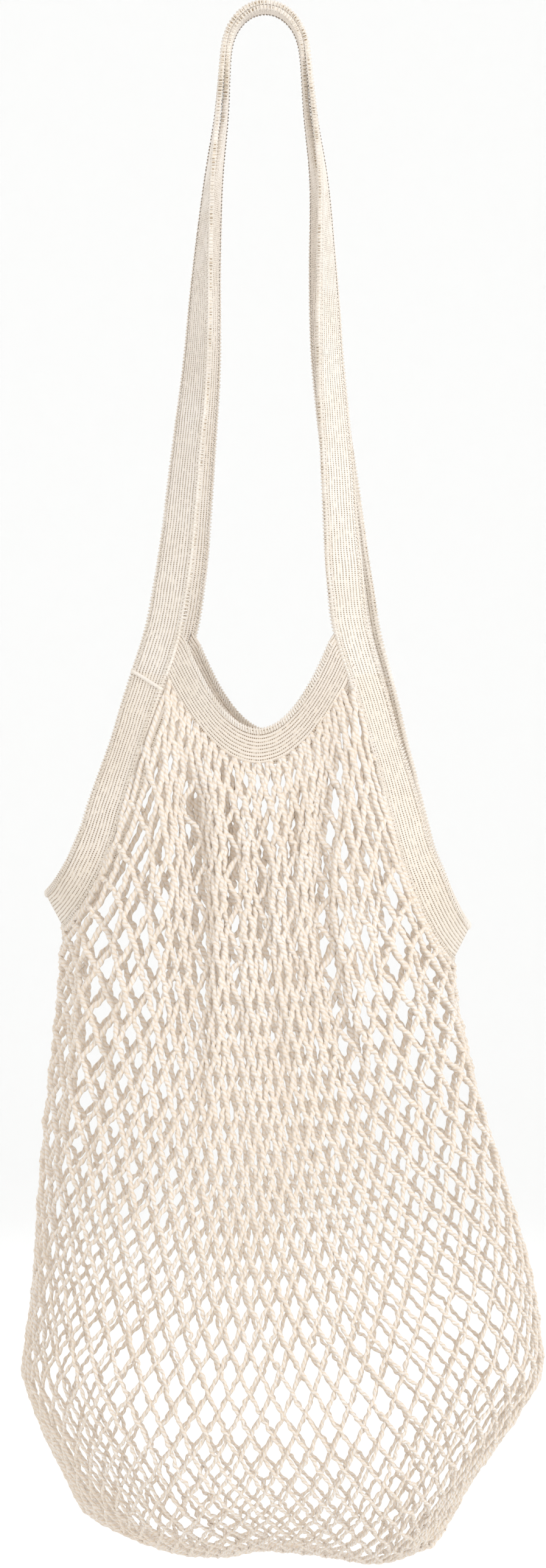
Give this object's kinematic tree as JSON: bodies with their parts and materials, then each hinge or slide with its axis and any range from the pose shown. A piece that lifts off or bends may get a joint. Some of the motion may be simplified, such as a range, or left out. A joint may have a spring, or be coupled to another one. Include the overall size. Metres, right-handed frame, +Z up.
{
  "type": "string shopping bag",
  "caption": "Net shopping bag of knotless cotton cord, with knitted bands round its mouth and armholes and knitted handles, in the form it has when full and hung up.",
  "frame": {"origin": "the point where the bag hangs, on the underside of the handles at the top of their arch", "axes": "+Z up, -Y towards the viewer of the front, +X to that viewer's right"},
  "size_m": [0.2814, 0.1944, 0.8466],
  "materials": {
    "cord_net": "undyed chain-knitted cotton cord",
    "neck_knit": "undyed knitted cotton band",
    "side_knit": "undyed knitted cotton band",
    "handle_knit": "undyed knitted cotton band"
  },
  "bodies": {
    "root": {"net_body": "cord_net", "neck_band_front": "neck_knit", "neck_band_back": "neck_knit", "side_band_left": "side_knit", "side_band_right": "side_knit", "handle_front": "handle_knit", "handle_back": "handle_knit"}
  },
  "joints": []
}
